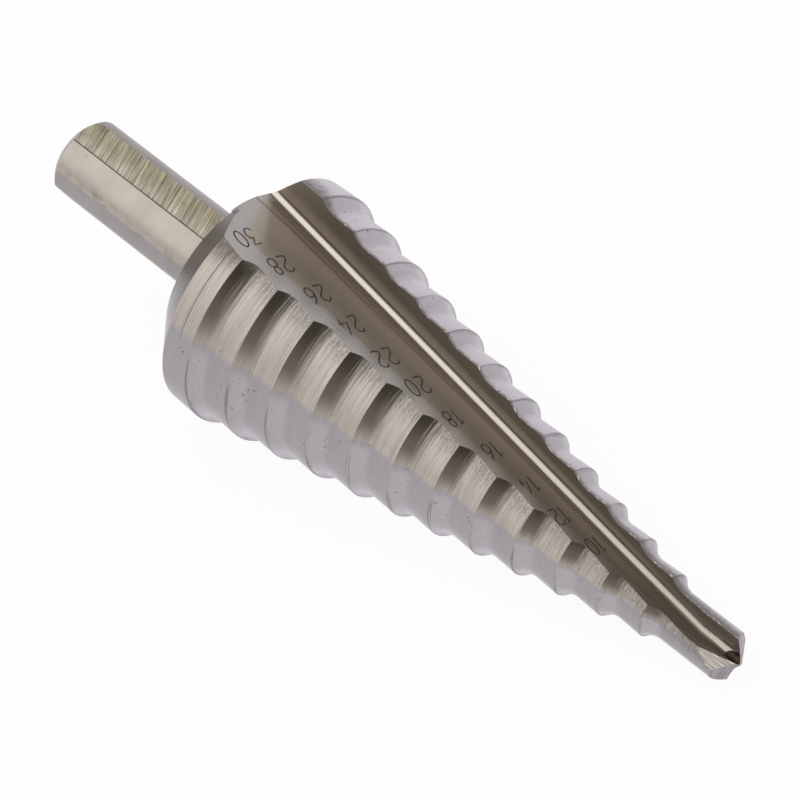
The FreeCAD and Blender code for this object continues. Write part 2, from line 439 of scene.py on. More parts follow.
@dataclass(frozen=True)
class LandFinish:
    """Turned and ground lands: bright behind the heel and purple-grey further round as painted reflections,
    dark in the hollows as painted shade.

    Attributes:
        bright: Painted reflection of the light, on the steel behind the heel edge.
        cool: Painted reflection of the table, on the steel further round.
        pale: The steel near the cutting edge.
        hollow: Painted shade on the shoulder close to the heel edge.
        hollow_mid: Painted shade on the shoulder further round.
        lifted: Painted light on the shoulder past the bright part, which evens it out with the lands.
        ringed: Painted shade on the shoulder near the cutting edge.
        fringe: The steel close behind the cutting edge, and the fine arcs at the front edges.
        scratched: The scratched fringe along the heel edge.
        burr: Painted highlights, small glints on the cutting edge.
        pit, scribed: The pits, and the turned line round the largest band.
        boundary: How far behind the heel edge the bright part ends, in degrees.
    """

    bright: tuple = linear(188, 179, 171)
    cool: tuple = linear(168, 163, 167)
    pale: tuple = linear(208, 202, 210)
    hollow: tuple = linear(62, 55, 48)
    hollow_mid: tuple = linear(114, 102, 94)
    lifted: tuple = linear(184, 179, 183)
    ringed: tuple = linear(142, 136, 142)
    fringe: tuple = linear(106, 98, 93)
    scratched: tuple = linear(82, 84, 76)
    burr: tuple = linear(255, 254, 250)
    pit: tuple = linear(58, 54, 58)
    scribed: tuple = linear(104, 97, 90)
    boundary: float = 43.0

    def material(self, form: DrillForm):
        """Return the material; the surface map holds degrees behind the heel edge, and height."""
        graph = Graph("ground_land")
        turn, height = graph.surface()
        heel, lip = graph.surface(EDGE_MAP)
        streak = graph.grain(turn, height, 0.030, 11.0, 4.0, 1.7)
        fine = graph.grain(turn, height, 0.15, 34.0, 2.0, 3.1)
        # Painted reflection: bright behind the heel edge for the light, purple-grey further round for the
        # table.
        past = self.frayed_turn(graph, turn, height).step(self.boundary - 0.5, self.boundary + 5.0)
        body = past.blend(self.bright, self.cool)
        body = turn.step(72.0, 100.0).blend(body, self.pale)
        body = graph.shade(body, self.ripple(graph.grain(turn, height, 0.018, 3.2, 4.0), past, streak, fine))
        body = self.heel_fringe(graph, heel, turn, height, body)
        body = self.hollows(form, turn, height, streak, body)
        body = self.lip_fringe(graph, lip, turn, height, body)
        pits = self.pits(graph, turn, height)
        body = pits.blend(body, self.pit)
        body = self.scribed_line(turn, height, body)
        graph.bump(streak + fine - pits, 0.00002)
        return graph.finish(body, fine * 0.12 + 0.36, 0.8)

    def frayed_turn(self, graph: Graph, turn: Value, height: Value) -> Value:
        """Return the degrees behind the heel edge, swung a little for the end of the bright part."""
        wander = graph.grain(turn, height, 0.0, 0.12, 1.0, 5.2)
        frayed = graph.grain(turn, height, 0.02, 7.0, 2.0, 6.4)
        return turn + wander * 3.0 + frayed * 4.0

    def ripple(self, coarse: Value, past: Value, streak: Value, fine: Value) -> Value:
        """Return the brightness of the grinding streaks, stronger on the bright part."""
        level = (coarse - 0.5) * 0.45 + (streak - 0.5) * 1.05
        return level * (past * -0.78 + 1.0) + (fine - 0.5) * 0.34 + 1.0

    def hollows(self, form: DrillForm, turn: Value, height: Value, streak: Value, body: Value) -> Value:
        """Return the colour with painted shade on the shoulders, where the height beyond the last front edge
        is under about 2 mm; painted light evens the shoulders out past the bright part, and fine arcs mark
        the front edges.
        """
        beyond = (height / form.step_pitch).math("FRACT") * form.step_pitch
        inside = height.step(-0.02, 0.0) * height.step(60.5, 60.0)
        frayed = (streak - 0.5) * 3.0 * turn.step(30.0, 0.0, 0.5, 1.3) + beyond
        deep = frayed.step(2.5, 0.9) * inside
        # Painted shade: dark shoulder colours, darkest near the heel edge.
        tone = turn.step(2.0, 30.0).blend(self.hollow, self.hollow_mid)
        body = (turn.step(26.0, 48.0, 1.0, 0.0) * deep).blend(body, tone)
        # Painted light: the shoulders past the bright part are lifted towards the lands' colour.
        calm = beyond.step(2.6, 1.4) * inside
        far = turn.step(66.0, 100.0, 0.75, 0.0) * turn.step(42.0, 50.0)
        body = (calm * far).blend(body, self.lifted)
        # Painted shade on the shoulders near the cutting edge.
        body = (deep * turn.step(92.0, 108.0) * 0.40).blend(body, self.ringed)
        arc = frayed.step(0.20, 0.06) * turn.step(46.0, 60.0) * inside
        return (arc * 0.55).blend(body, self.fringe)

    def heel_fringe(self, graph: Graph, heel: Value, turn: Value, height: Value, body: Value) -> Value:
        """Return the colour with a scratched fringe along the heel edge."""
        scratch = graph.grain(turn, height, 0.22, 13.0, 4.0, 8.4).step(0.38, 0.62)
        reach = graph.grain(turn, height, 0.0, 4.0, 2.0, 12.0)
        mottle = graph.grain(turn, height, 0.8, 3.0, 4.0, 15.0).step(0.40, 0.70)
        soft = (reach * -3.4 + heel).step(0.9, -1.9)
        return (soft * scratch.math("MAXIMUM", mottle) * 0.76).blend(body, self.scratched)

    def lip_fringe(self, graph: Graph, lip: Value, turn: Value, height: Value, body: Value) -> Value:
        """Return the colour with a fringe behind the cutting edge, wide at both ends of the cone, and painted
        glints on the edge.
        """
        wide = height.step(3.0, -2.5, 0.0, 2.6) + height.step(40.0, 60.0, 0.0, 1.1)
        mottle = graph.grain(turn, height, 0.35, 2.2, 4.0, 21.0)
        spread = lip / (wide + 0.60) + (mottle - 0.5) * 0.9
        body = (spread.step(1.0, 0.1) * 0.80).blend(body, self.fringe)
        # Painted highlight: scattered bright glints along the cutting edge.
        burr = graph.specks(turn, height, 0.7, 1.5, 0.45, 0.40) * lip.step(0.34, 0.20)
        return burr.blend(body, self.burr)

    def pits(self, graph: Graph, turn: Value, height: Value) -> Value:
        """Return the mask of small dark pits and dashes, denser past the boundary."""
        dashes = graph.specks(turn, height, 0.42, 0.9, 0.18, 0.26)
        dots = graph.specks(turn, height, 0.70, 2.3, 0.20, 0.24)
        return dashes.math("MAXIMUM", dots) * turn.step(34.0, 50.0, 0.25, 0.9)

    def scribed_line(self, turn: Value, height: Value, body: Value) -> Value:
        """Return the colour with the thin turned line round the largest band."""
        near = abs(height + 1.8).step(0.10, 0.05)
        return (near * turn.step(50.0, 38.0, 0.0, 0.75)).blend(body, self.scribed)


@dataclass(frozen=True)
class RearFinish:
    """The chamfer and face behind the largest step: dark grey beside the shank, paler further round."""

    near: tuple = linear(96, 88, 83)
    far: tuple = linear(200, 195, 201)
    pit: tuple = linear(58, 54, 56)

    def material(self, form: DrillForm):
        """Return the material; the surface map holds degrees behind the heel edge, and radius."""
        graph = Graph("turned_rear")
        turn, radius = graph.surface()
        rings = graph.grain(turn, radius, 0.02, 7.0, 5.0)
        cloud = graph.grain(turn, radius, 0.05, 0.6, 4.0, 2.5)
        body = ((cloud - 0.5) * 22.0 + turn).step(18.0, 66.0).blend(self.near, self.far)
        body = graph.shade(body, (rings - 0.5) * 0.24 + 1.0)
        body = graph.specks(turn, radius, 0.29, 1.35, 0.15, 0.12).blend(body, self.pit)
        graph.bump(rings, 0.00002)
        return graph.finish(body, rings * 0.15 + 0.32, 0.8)


@dataclass(frozen=True)
class WallFinish:
    """The mirror-ground number wall: brown in the middle, pale along the step edges and at the rear."""

    brown: tuple = linear(172, 162, 151)
    dark: tuple = linear(134, 122, 109)
    darkest: tuple = linear(100, 91, 82)
    edge: tuple = linear(184, 179, 177)
    line: tuple = linear(92, 80, 68)
    spot: tuple = linear(66, 60, 54)
    edge_share: float = 0.74
    line_share: float = 0.205

    def material(self, form: DrillForm):
        """Return the material; the surface map holds reach from the root and height."""
        graph = Graph("ground_number_wall")
        reach, height = graph.surface()
        share = reach / (height * -0.167 + 13.4)
        bands = graph.grain(share, height, 9.0, 0.012, 3.0)
        fine = graph.grain(share, height, 60.0, 0.05, 2.0, 4.0)
        cloud = graph.grain(reach, height, 0.25, 0.10, 3.0, 9.0)
        moved = (cloud - 0.5) * 0.10 + share
        body = share.step(0.26, 0.10).blend(self.brown, self.dark)
        body = (height.step(18.0, 52.0) * 0.9).blend(body, self.dark)
        body = height.step(46.0, 60.0).blend(body, self.darkest)
        pale = moved.step(self.edge_share - 0.05, self.edge_share + 0.05) * height.step(14.0, 38.0, 1.0, 0.15)
        rear = (share * 7.0 - 8.0 - height).step(-0.8, 0.8)
        body = pale.math("MAXIMUM", rear).blend(body, self.edge)
        body = graph.shade(body, (bands - 0.5) * 0.26 + (fine - 0.5) * 0.08 + 1.0)
        line = abs(moved - self.line_share).step(0.020, 0.004)
        body = (line * 0.55).blend(body, self.line)
        body = graph.specks(reach, height, 0.9, 0.8, 0.10, 0.05).blend(body, self.spot)
        graph.bump(fine, 0.00001)
        return graph.finish(body, bands * 0.10 + 0.20, 0.85)


@dataclass(frozen=True)
class CuttingFaceFinish:
    """The mirror-ground cutting face: dark olive, lighter brown beside the root."""

    dark: tuple = linear(136, 128, 120)
    light: tuple = linear(182, 174, 163)

    def material(self, form: DrillForm):
        """Return the material; the surface map holds reach from the root and height."""
        graph = Graph("ground_cutting_face")
        reach, height = graph.surface()
        share = reach / (height * -0.052 + 5.9)
        bands = graph.grain(share, height, 5.0, 0.006, 2.0)
        fine = graph.grain(share, height, 36.0, 0.02, 2.0, 4.0)
        body = (share.step(0.16, 0.26) * share.step(0.66, 0.40)).blend(self.dark, self.light)
        rear = height.step(4.0, -6.0, 0.0, 0.55)
        ends = rear.math("MAXIMUM", height.step(44.0, 60.0, 0.0, 0.35))
        body = ends.blend(body, self.light)
        body = graph.shade(body, (bands - 0.5) * 0.24 + (fine - 0.5) * 0.07 + 1.0)
        graph.bump(fine, 0.000004)
        return graph.finish(body, bands * 0.10 + 0.24, 0.85)


@dataclass(frozen=True)
class RootFinish:
    """The rounded flute root, with one narrow painted highlight along it, fainter towards the point."""

    bright: tuple = linear(212, 204, 193)
    faded: tuple = linear(184, 176, 166)
    dark: tuple = linear(112, 101, 90)

    def material(self, form: DrillForm):
        """Return the material; the surface map holds the share from face side to wall side, and height."""
        graph = Graph("ground_root")
        share, height = graph.surface()
        wave = graph.grain(share, height, 2.0, 0.15, 2.0)
        # Painted highlight: a narrow bright line in the root, moved across near the point and fainter towards
        # it.
        rise = height.step(48.0, form.level_start) * height.step(66.0, 62.5)
        centre = rise * 0.16 + wave * 0.04 + share
        lit = height.step(14.0, 56.0).blend(self.bright, self.faded)
        body = (centre.step(0.08, 0.34) * centre.step(0.92, 0.70)).blend(self.dark, lit)
        fine = graph.grain(share, height, 24.0, 0.3, 3.0, 2.0)
        body = graph.shade(body, (fine - 0.5) * 0.14 + 1.0)
        graph.bump(fine, 0.00001)
        return graph.finish(body, fine * 0.10 + 0.22, 0.85)


@dataclass(frozen=True)
class ShankFinish:
    """The ground round of the shank: warm beside each flat and purple-grey further round, as painted
    reflections of the light and of the table.
    """

    warm: tuple = linear(184, 175, 166)
    cool: tuple = linear(160, 154, 155)
    smudge: tuple = linear(122, 106, 94)
    stain: tuple = linear(92, 84, 78)

    def material(self, form: DrillForm):
        """Return the material; the surface map holds degrees past the nearest flat, and height."""
        graph = Graph("ground_shank")
        turn, height = graph.surface()
        rings = graph.grain(turn, height, 0.03, 6.0, 5.0)
        cloud = graph.grain(turn, height, 0.03, 0.35, 4.0, 2.0)
        moved = (cloud - 0.5) * 5.0 + turn
        # Painted reflection: warm towards the flat for the light, purple-grey further round for the table.
        body = moved.step(68.0, 73.0).blend(self.warm, self.cool)
        body = graph.shade(body, (rings - 0.5) * 0.12 + 1.0)
        body = graph.shade(body, (cloud - 0.5) * 0.34 + 1.0)
        smudge = graph.grain(turn, height, 0.06, 0.5, 4.0, 11.0).step(0.46, 0.70)
        body = (smudge * abs(moved - 66.0).step(9.0, 1.0) * 0.55).blend(body, self.smudge)
        stain = graph.specks(turn, height, 0.10, 0.45, 0.14, 0.14)
        body = (stain * 0.7).blend(body, self.stain)
        graph.bump(rings, 0.00001)
        return graph.finish(body, rings * 0.12 + 0.30, 0.8)


@dataclass(frozen=True)
class ShankEndFinish:
    """The turned end of the shank, with fine rings and faint stains."""

    steel: tuple = linear(178, 170, 164)
    stain: tuple = linear(132, 121, 112)

    def material(self, form: DrillForm):
        """Return the material; the surface map holds the distances from the axis along x and y."""
        graph = Graph("turned_shank_end")
        x, y = graph.surface()
        radius = (x * x + y * y).math("SQRT")
        rings = graph.grain(radius, radius, 8.0, 0.0, 4.0)
        cloud = graph.grain(x, y, 0.5, 0.5, 4.0, 3.0)
        body = cloud.step(0.54, 0.90).blend(self.steel, self.stain)
        body = graph.shade(body, (rings - 0.5) * 0.30 + 1.0)
        graph.bump(rings, 0.00002)
        return graph.finish(body, rings * 0.15 + 0.32, 0.8)


@dataclass(frozen=True)
class FlatFinish:
    """The milled flats of the shank: khaki, with coarse marks that lean across them.

    Attributes:
        khaki, stain, pale: The steel, its stains, and the steel beside the dark border.
        border: The dark border along one side.
        slant: How far a mark runs along the shank per millimetre across it.
    """

    khaki: tuple = linear(168, 160, 138)
    stain: tuple = linear(134, 123, 104)
    pale: tuple = linear(196, 188, 174)
    border: tuple = linear(52, 46, 40)
    slant: float = 0.42

    def material(self, form: DrillForm):
        """Return the material; the surface map holds millimetres across the flat, and height."""
        graph = Graph("milled_flat")
        across, height = graph.surface()
        slanted = across * -self.slant + height
        marks = graph.grain(across, slanted, 0.12, 4.4, 5.0)
        fine = graph.grain(across, slanted, 0.7, 13.0, 3.0, 6.0)
        cloud = graph.grain(across, height, 0.5, 0.35, 3.0, 9.0)
        body = cloud.step(0.52, 0.80).blend(self.khaki, self.stain)
        body = across.step(-0.6, 1.6, 0.0, 0.7).blend(body, self.pale)
        body = graph.shade(body, (marks - 0.5) * 2.8 + (fine - 0.5) * 1.5 + 1.0)
        half_width = math.sqrt(form.shank_radius ** 2 - (form.shank_radius - form.flat_depth) ** 2)
        border = across.step(half_width - 0.24, half_width - 0.10)
        body = (border * 0.85).blend(body, self.border)
        graph.bump(marks, 0.00003)
        return graph.finish(body, marks * 0.15 + 0.34, 0.75)


@dataclass(frozen=True)
class GroundFacetFinish:
    """A facet of the point with straight grinding lines.

    Attributes:
        name: The material's name.
        light, dark: The steel between and in the grinding lines.
        line_scale: Lines per millimetre.
        strength: How strong the lines are.
        pitted: The share of cells with a dark pit.
        pit: The pits.
    """

    name: str
    light: tuple
    dark: tuple
    line_scale: float
    strength: float
    pitted: float = 0.0
    pit: tuple = linear(52, 46, 46)

    def material(self, form: DrillForm):
        """Return the material; the surface map holds millimetres along and across the grinding lines."""
        graph = Graph(self.name)
        along, across = graph.surface()
        lines = graph.grain(along, across, 0.15, self.line_scale, 4.0)
        cloud = graph.grain(along, across, 1.2, 1.2, 3.0, 4.0)
        body = (lines.step(0.36, 0.64) * self.strength).blend(self.dark, self.light)
        body = graph.shade(body, (cloud - 0.5) * 0.5 + 1.0)
        if self.pitted > 0.0:
            body = graph.specks(along, across, 2.6, 2.6, 0.24, self.pitted).blend(body, self.pit)
        graph.bump(lines, 0.00002)
        return graph.finish(body, lines * 0.15 + 0.30, 0.8)


@dataclass(frozen=True)
class MarkFinish:
    """The burnt stroke of a laser: dark brown, rough, uneven."""

    burnt: tuple = linear(64, 54, 50)

    def material(self, form: DrillForm):
        """Return the material; the surface map holds millimetres along and across the stroke."""
        graph = Graph("laser_mark")
        along, across = graph.surface()
        pulse = graph.grain(along, across, 8.0, 3.0, 3.0)
        body = graph.shade(self.burnt, pulse * 1.1 + 0.45)
        return graph.finish(body, 0.55, 0.4)


@dataclass
class SteelBody:
    """The drill's ground steel: the solid's own form with smooth curved faces and a finish for each surface.

    Attributes:
        node: The name of the CAD node that it stands for; not used.
        pose: How the drill lies.
        form: The drill's driving sizes.
        smooth_angle: Faces that meet at less than this, in degrees, shade as one curved surface.
        heel_lead: How far ahead of the heel edge the lands' turn counts as below 0, in degrees.
        rear_limit: From this turn on, the rear chamfer belongs to the next heel edge.
        ledge_turn: The turn that the small ledge on the rear chamfer is finished as, a paler one, as painted
            light that offsets its dark reflection.
        on_plane: How near in millimetres a triangle's middle lies to the plane that it is read as part of.
        facing: The least cosine between a triangle and a flute side that it is read as part of.
        exact_facing: The same for the small facets and the shank's flats.
    """

    node: str
    pose: DrillPose
    form: DrillForm
    smooth_angle: float = 20.0
    heel_lead: float = 15.0
    rear_limit: float = 135.0
    ledge_turn: float = 90.0
    on_plane: float = 0.03
    facing: float = 0.9
    exact_facing: float = 0.99

    def build(self, source) -> bpy.types.Object:
        """Return a copy of the CAD node with joined vertices, smooth faces and surface coordinates.

        Args:
            source: The CAD node's object.

        Returns:
            The new object.
        """
        vertices, triangles = self.joined(source.data)
        mesh = bpy.data.meshes.new("ground_steel")
        mesh.from_pydata(self.pose.to_row(vertices).tolist(), [], triangles.tolist())
        mesh.shade_smooth()
        mesh.set_sharp_from_angle(angle=math.radians(self.smooth_angle))
        regions, surface, side = self.read_surfaces(vertices, triangles)
        mesh.polygons.foreach_set("material_index", regions)
        uv_layer = mesh.uv_layers.new(name=SURFACE_MAP)
        uv_layer.data.foreach_set("uv", surface.ravel())
        edge_layer = mesh.uv_layers.new(name=EDGE_MAP)
        edge_layer.data.foreach_set("uv", self.read_edges(vertices[triangles], side).ravel())
        halves = mesh.attributes.new(SIDE_MAP, "FLOAT", "FACE")
        halves.data.foreach_set("value", side)
        mesh.update()
        steel = bpy.data.objects.new("ground_steel", mesh)
        bpy.context.scene.collection.objects.link(steel)
        return steel

    def joined(self, mesh) -> tuple:
        """Return the mesh's corners in the drill's frame, with equal ones joined, and its triangles."""
        corners = np.empty(len(mesh.vertices) * 3)
        mesh.vertices.foreach_get("co", corners)
        corners = self.pose.to_drill(corners.reshape(-1, 3))
        mesh.calc_loop_triangles()
        triangles = np.empty(len(mesh.loop_triangles) * 3, dtype=np.int32)
        mesh.loop_triangles.foreach_get("vertices", triangles)
        keys = np.round(corners, 4)
        _, first, joined = np.unique(keys, axis=0, return_index=True, return_inverse=True)
        triangles = joined.reshape(-1)[triangles].reshape(-1, 3)
        kept = (triangles[:, 0] != triangles[:, 1]) & (triangles[:, 1] != triangles[:, 2])
        kept &= triangles[:, 2] != triangles[:, 0]
        return corners[first], triangles[kept]

    def read_surfaces(self, vertices, triangles) -> tuple:
        """Return each triangle's region, its corners' surface coordinates and its half of the drill.

        Args:
            vertices: Corners in the drill's frame.
            triangles: Rows of three corner numbers.

        Returns:
            The regions, the coordinates with one row to a triangle corner, and the halves.
        """
        form = self.form
        corners = vertices[triangles]
        centre = corners.mean(axis=1)
        normal = np.cross(corners[:, 1] - corners[:, 0], corners[:, 2] - corners[:, 0])
        normal /= np.maximum(np.linalg.norm(normal, axis=1, keepdims=True), 1e-12)
        count = len(triangles)
        regions = np.full(count, Region.LAND.value, dtype=np.int32)
        side = np.zeros(count)
        surface = np.zeros((count, 3, 2))
        azimuth = np.degrees(np.arctan2(centre[:, 1], centre[:, 0]))
        radius = np.hypot(centre[:, 0], centre[:, 1])
        behind = (azimuth - form.flute_mouth) % 360.0
        side[(behind + self.heel_lead) % 360.0 > 180.0] = 1.0
        corner_azimuth = np.degrees(np.arctan2(corners[..., 1], corners[..., 0]))
        swing = (corner_azimuth - azimuth[:, None] + 180.0) % 360.0 - 180.0
        past_heel = (behind + self.heel_lead) % 180.0 - self.heel_lead
        surface[..., 0] = past_heel[:, None] + swing
        surface[..., 1] = corners[..., 2]

        rear = (centre[:, 2] < form.band_back) & (centre[:, 2] > form.back_face - 0.01)
        rear &= radius > form.shank_radius - 0.5
        regions[rear] = Region.REAR.value
        ahead = rear & (past_heel > self.rear_limit)
        surface[ahead, :, 0] -= 180.0
        surface[rear, :, 1] = np.hypot(corners[rear][..., 0], corners[rear][..., 1])
        ledge = rear & (np.abs(normal[:, 2]) < 0.2)
        # Painted light: the small ledge takes the paler colour of a far turn, which offsets its dark
        # reflection.
        surface[ledge, :, 0] = self.ledge_turn

        shank = (centre[:, 2] < form.back_face - 0.001) & (radius < form.shank_radius + 0.01)
        regions[shank] = Region.SHANK.value
        past = (azimuth - form.flat_start) % (360.0 / form.flat_count)
        surface[shank, :, 0] = past[shank][:, None] + swing[shank]
        for index in range(form.flat_count):
            angle = form.flat_start + index * 360.0 / form.flat_count
            off_flat = centre[:, :2] @ polar(1.0, angle) - form.shank_radius + form.flat_depth
            milled = shank & (normal[:, :2] @ polar(1.0, angle) > self.exact_facing)
            milled &= np.abs(off_flat) < self.on_plane
            regions[milled] = Region.FLAT.value
            surface[milled, :, 0] = corners[milled][..., :2] @ polar(1.0, angle + 90.0)
        crown = shank & (normal[:, 2] < -0.5) & (centre[:, 2] < form.shank_end + form.shank_end_round)
        regions[crown] = Region.SHANK_END.value
        surface[crown] = corners[crown][..., :2]

        for half in (0.0, 1.0):
            self.read_half(half, corners, centre, normal, regions, surface, side)
        return regions, surface, side

    def read_edges(self, corners, side) -> np.ndarray:
        """Return how far in millimetres each triangle corner lies from its land's heel and cutting edges."""
        form = self.form
        edges = np.zeros((len(corners), 3, 2))
        wall_normal = polar(1.0, form.wall_angle - 90.0)
        face_normal = polar(1.0, form.rake + 90.0)
        for half, sign in ((0.0, 1.0), (1.0, -1.0)):
            own = side == half
            across = corners[own][..., :2] * sign
            root = form.root_at(corners[own][..., 2])
            edges[own, :, 0] = (root - across) @ wall_normal
            edges[own, :, 1] = (root + across) @ face_normal
        return edges

    def read_half(self, half, corners, centre, normal, regions, surface, side) -> None:
        """Fill in the regions of one flute and of the point facets beside it.

        Args:
            half: 0 for the first flute, 1 for the one half a turn round.
            corners, centre, normal: The triangles' corners, middles and normals in the drill's frame.
            regions, surface, side: The arrays to fill.
        """
        form = self.form
        turn = np.array([1.0, 1.0, 1.0]) if half == 0.0 else np.array([-1.0, -1.0, 1.0])
        corners = corners * turn
        centre = centre * turn
        normal = normal * turn
        across = centre[:, :2] - form.root_at(centre[:, 2])
        corner_across = corners[..., :2] - form.root_at(corners[..., 2])
        wall_out = polar(1.0, form.wall_angle)
        wall_normal = polar(1.0, form.wall_angle - 90.0)
        face_out = polar(1.0, form.rake)
        face_normal = polar(1.0, form.rake + 90.0)
        off_wall = across @ wall_normal
        off_face = across @ face_normal
        in_flute = (across @ wall_out > -0.2) & (across @ face_out > -0.2)
        in_flute &= (centre[:, 2] > form.back_face - 0.001)
        wall = in_flute & (np.abs(off_wall) < self.on_plane) & (normal[:, :2] @ wall_normal > self.facing)
        face = in_flute & (np.abs(off_face) < self.on_plane) & (normal[:, :2] @ face_normal > self.facing)
        depth = form.root_radius / math.tan(math.radians(form.flute_angle / 2.0))
        root = in_flute & ~wall & ~face & (across @ wall_out < depth) & (across @ face_out < depth)
        root &= normal[:, :2] @ polar(1.0, form.rake + form.flute_angle / 2.0) > 0.3
        root &= np.abs(normal[:, 2]) < 0.4
        regions[wall] = Region.NUMBER_WALL.value
        surface[wall, :, 0] = corner_across[wall] @ wall_out
        regions[face] = Region.CUTTING_FACE.value
        surface[face, :, 0] = corner_across[face] @ face_out
        regions[root] = Region.ROOT.value
        corner_wall = corner_across[root] @ wall_normal
        corner_face = corner_across[root] @ face_normal
        surface[root, :, 0] = corner_face / np.maximum(corner_face + corner_wall, 1e-6)
        in_any = wall | face | root
        surface[in_any, :, 1] = corners[in_any][..., 2]
        side[in_any] = half

        flank_out = polar(form.point_slope, form.rake)
        flank_behind = polar(math.tan(math.radians(form.lip_relief)), form.rake - 90.0)
        flank_normal = np.append(flank_out + flank_behind, 1.0)
        flank_normal /= np.linalg.norm(flank_normal)
        slope = math.radians(form.heel_facet_slope)
        facet_normal = np.append(polar(math.sin(slope), -form.heel_facet_turn), math.cos(slope))
        at_point = centre[:, 2] > form.last_edge
        flank = at_point & (normal @ flank_normal > self.exact_facing)
        facet = at_point & (normal @ facet_normal > self.exact_facing)
        downhill = np.append(-math.cos(slope) * polar(1.0, -form.heel_facet_turn), math.sin(slope))
        level = np.cross(facet_normal, downhill)
        regions[flank] = Region.FLANK.value
        surface[flank, :, 0] = corners[flank][..., :2] @ face_out
        surface[flank, :, 1] = corners[flank][..., :2] @ face_normal
        regions[facet] = Region.HEEL_FACET.value
        surface[facet, :, 0] = corners[facet] @ downhill
        surface[facet, :, 1] = corners[facet] @ level
        gash = at_point & (form.off_gash(corners).max(axis=1) < 0.02)
        gash &= normal[:, :2] @ polar(1.0, form.gash_turn) > 0.0
        regions[gash] = Region.GASH.value
        surface[gash, :, 0] = corners[gash][..., :2] @ face_out
        surface[gash, :, 1] = corners[gash][..., 2]

    def dress(self, steel) -> None:
        """Give every surface its finish, in the order of the regions."""
        finishes = {
            Region.LAND: LandFinish(),
            Region.REAR: RearFinish(),
            Region.NUMBER_WALL: WallFinish(),
            Region.CUTTING_FACE: CuttingFaceFinish(),
            Region.ROOT: RootFinish(),
            Region.SHANK: ShankFinish(),
            Region.FLAT: FlatFinish(),
            Region.FLANK: GroundFacetFinish("ground_flank", linear(176, 169, 175), linear(136, 128, 134),
                                            5.0, 0.8, pitted=0.30),
            Region.HEEL_FACET: GroundFacetFinish("ground_heel", linear(240, 235, 226), linear(140, 129, 116),
                                                 9.0, 1.0),
            # Painted shade: the gash is given very dark browns, the shade of its pocket.
            Region.GASH: GroundFacetFinish("ground_gash_painted_shade", linear(84, 68, 58), linear(40, 31, 27), 7.0, 0.9),
            Region.SHANK_END: ShankEndFinish(),
        }
        for region in Region:
            steel.data.materials.append(finishes[region].material(self.form))


@dataclass(frozen=True)
class NumberMark:
    """One laser-marked size.

    Attributes:
        number: The marked diameter in millimetres.
        height: Where its middle lies along the axis.
        reach: Where its middle lies from the flute's root along the wall.
    """

    number: int
    height: float
    reach: float


MARKS = (
    NumberMark(30, -2.7, 9.95),
    NumberMark(28, 2.05, 8.95),
    NumberMark(26, 7.1, 7.85),
    NumberMark(24, 12.2, 7.3),
    NumberMark(22, 17.5, 6.9),
    NumberMark(20, 22.2, 6.3),
    NumberMark(18, 27.4, 5.68),
    NumberMark(16, 32.8, 4.68),
    NumberMark(14, 38.3, 4.13),
    NumberMark(12, 43.1, 4.08),
    NumberMark(10, 47.9, 3.22),
)


def oval(centre_x: float, centre_y: float, half_x: float, half_y: float) -> np.ndarray:
    """Return a closed oval as points in a digit's unit cell."""
    turn = np.linspace(0.0, 2.0 * math.pi, 33)
    return np.stack([centre_x + half_x * np.cos(turn), centre_y + half_y * np.sin(turn)], axis=1)


def smooth_path(points: tuple, pieces: int = 6) -> np.ndarray:
    """Return a smooth curve through points: a Catmull-Rom spline with the ends repeated.

    Args:
        points: Pairs of x and y.
        pieces: How many parts each stretch between two points is cut into.

    Returns:
        The curve's points.
    """
    knots = np.array([points[0], *points, points[-1]], dtype=float)
    share = np.linspace(0.0, 1.0, pieces, endpoint=False)[:, None]
    curve = []
    for index in range(len(knots) - 3):
        a, b, c, d = knots[index:index + 4]
        curve.append(0.5 * (2.0 * b + (c - a) * share + (2.0 * a - 5.0 * b + 4.0 * c - d) * share ** 2
                            + (3.0 * b - a - 3.0 * c + d) * share ** 3))
    curve.append(knots[-1][None, :])
    return np.concatenate(curve)


DIGIT_STROKES = {
    "0": (oval(0.5, 0.5, 0.45, 0.5),),
    "1": (np.array([(0.15, 0.80), (0.55, 1.0), (0.55, 0.0)]),),
    "2": (smooth_path(((0.06, 0.82), (0.22, 0.97), (0.52, 1.0), (0.86, 0.88), (0.92, 0.68), (0.62, 0.48),
                       (0.22, 0.30), (0.06, 0.10), (0.14, 0.03), (0.5, 0.0), (0.95, 0.0))),),
    "3": (np.array([(0.05, 1.0), (0.92, 1.0), (0.42, 0.60)]),
          smooth_path(((0.42, 0.60), (0.80, 0.56), (0.95, 0.30), (0.74, 0.05), (0.35, 0.0), (0.05, 0.16)))),
    "4": (np.array([(0.62, 1.0), (0.05, 0.28), (0.98, 0.28)]), np.array([(0.74, 0.46), (0.74, 0.0)])),
    "6": (smooth_path(((0.78, 1.0), (0.42, 0.78), (0.16, 0.52), (0.08, 0.30))), oval(0.5, 0.29, 0.43, 0.29)),
    "8": (oval(0.5, 0.76, 0.35, 0.24), oval(0.5, 0.26, 0.44, 0.26)),
}


